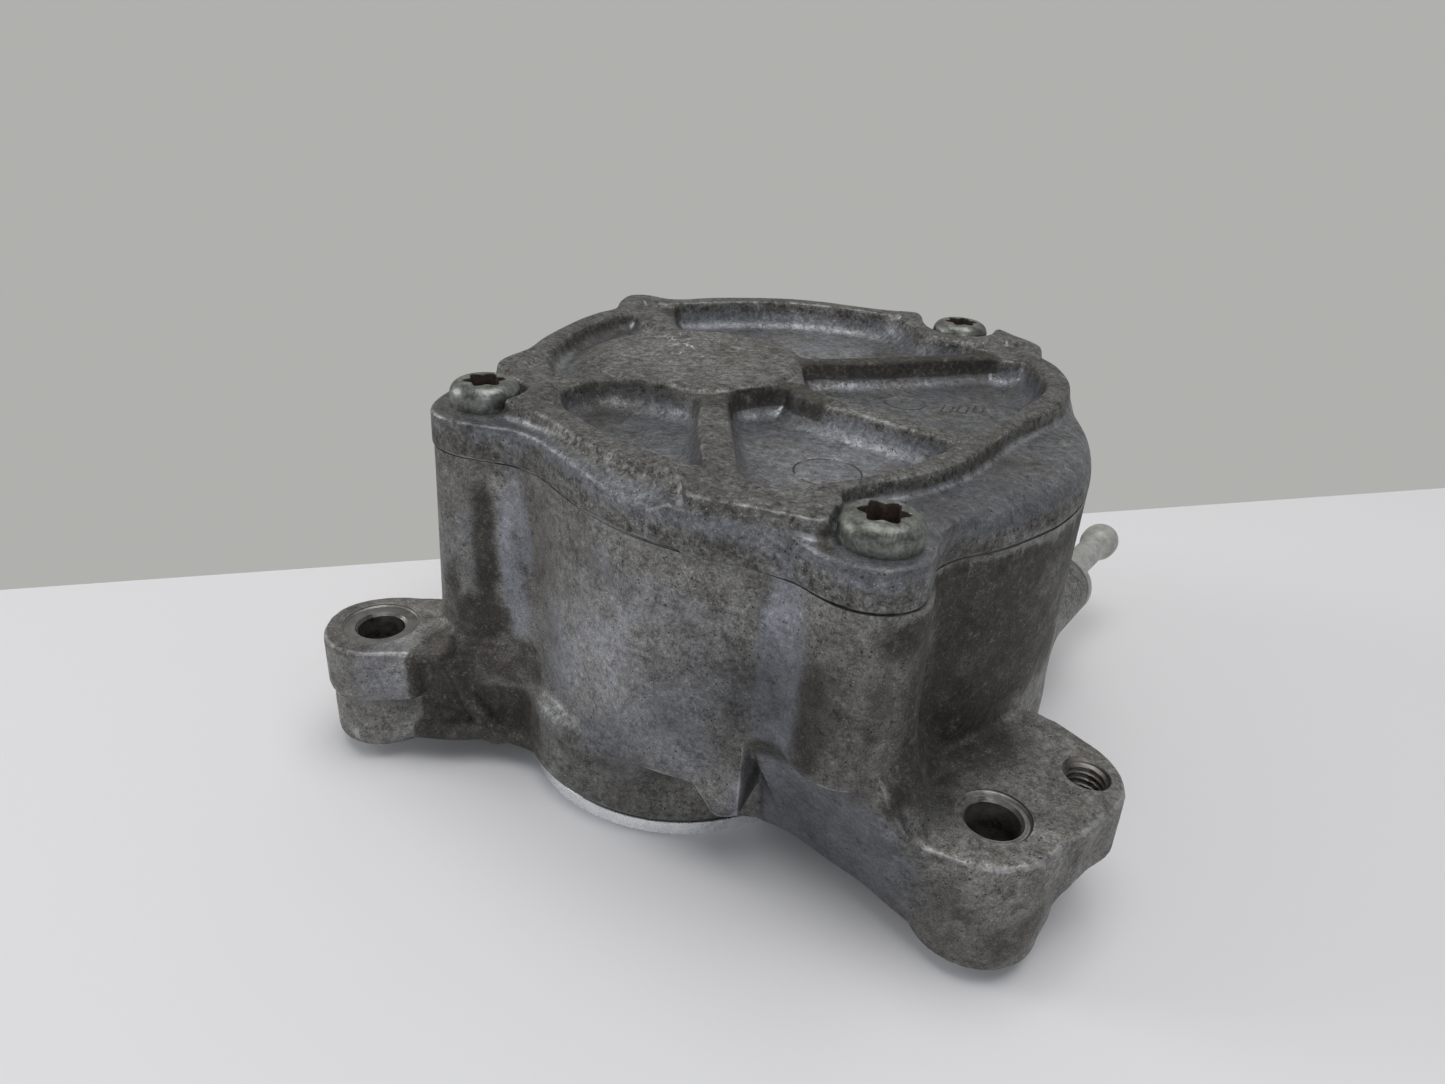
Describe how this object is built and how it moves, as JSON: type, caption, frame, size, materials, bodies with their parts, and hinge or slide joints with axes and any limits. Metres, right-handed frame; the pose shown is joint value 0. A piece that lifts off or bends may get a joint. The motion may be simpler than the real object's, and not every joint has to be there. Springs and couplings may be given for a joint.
{
  "type": "rotary vane vacuum pump",
  "caption": "Engine-driven rotary vane vacuum pump: cast housing with mounting ears, ribbed screwed cover, turning rotor with a sliding through-vane, check valve and nipple.",
  "frame": {"origin": "centre of the locating spigot's lower end, on the rotor's axis", "axes": "+Z from the mounting face to the cover, +X from the left ear's bore to the right ear's bore, +Y to the back"},
  "size_m": [0.118, 0.1068, 0.0585],
  "materials": {
    "cast_housing": "rough die-cast, grimy",
    "cast_cover": "rough die-cast, grimy",
    "seal_rubber": "matte",
    "screw_zinc": "dull zinc with rust in the sockets",
    "rotor_steel": "ground and oiled",
    "vane_composite": "glass-filled, oiled",
    "tip_carbon": "polished by wear",
    "pin_steel": "polished",
    "coupling_steel": "sintered, oiled",
    "spring_steel": "blued",
    "tube_metal": "drawn tube",
    "strainer_brass": "fine mesh",
    "nipple_grey": "pale grey, slightly translucent, dusty",
    "valve_rubber": "matte",
    "spring_wire": "bright wire",
    "stop_steel": "stamped",
    "small_screw": "zinc"
  },
  "bodies": {
    "housing": {"pump_housing": "cast_housing", "cover": "cast_cover", "cover_seal": "seal_rubber", "cover_screws": "screw_zinc", "spigot_o_ring": "seal_rubber", "inlet_nipple": "nipple_grey", "nipple_o_ring": "seal_rubber", "check_valve_spring": "spring_wire", "reed_root": "spring_steel", "reed_stop": "stop_steel", "reed_screw": "small_screw"},
    "rotor": {"rotor": "rotor_steel", "coupling_clip": "spring_steel", "oil_feed_tube": "tube_metal", "oil_tube_o_ring": "seal_rubber", "oil_strainer": "strainer_brass"},
    "vane_guide": {"vane_guide_pin": "pin_steel"},
    "vane": {"vane": "vane_composite", "vane_tip_a": "tip_carbon", "vane_tip_b": "tip_carbon"},
    "coupling": {"drive_coupling": "coupling_steel"},
    "check_valve": {"check_valve_disc": "valve_rubber"},
    "outlet_flap": {"outlet_reed": "spring_steel"}
  },
  "joints": [
    {"name": "rotor_spin", "type": "hinge", "parent": "housing", "child": "rotor", "pos_m": [0, 0, 0], "axis": [0, 0, 1], "continuous": true},
    {"name": "vane_orbit", "type": "hinge", "parent": "housing", "child": "vane_guide", "pos_m": [0.00296, 0.00634, 0], "axis": [0, 0, 1], "continuous": true},
    {"name": "vane_turn", "type": "hinge", "parent": "vane_guide", "child": "vane", "pos_m": [0, 0, 0], "axis": [0, 0, 1], "continuous": true},
    {"name": "coupling_float", "type": "slide", "parent": "rotor", "child": "coupling", "axis": [-0.9063, 0.4226, 0], "range_m": [-0.0004, 0.0004]},
    {"name": "check_valve_lift", "type": "slide", "parent": "housing", "child": "check_valve", "axis": [-0.2588, -0.9659, 0], "range_m": [0, 0.0012], "stiffness_N_per_m": 150, "springref_m": -0.002, "deforming": ["check_valve_spring"]},
    {"name": "reed_flex", "type": "hinge", "parent": "housing", "child": "outlet_flap", "pos_m": [-0.01719, 0.03527, 0.00845], "axis": [0.9397, -0.342, 0], "range_deg": [0, 4], "stiffness_Nm_per_rad": 0.02, "springref_deg": -2.86}
  ],
  "couplings": [
    {"joint": "vane_orbit", "follows": "rotor_spin", "ratio": 2},
    {"joint": "vane_turn", "follows": "rotor_spin", "ratio": -1}
  ]
}
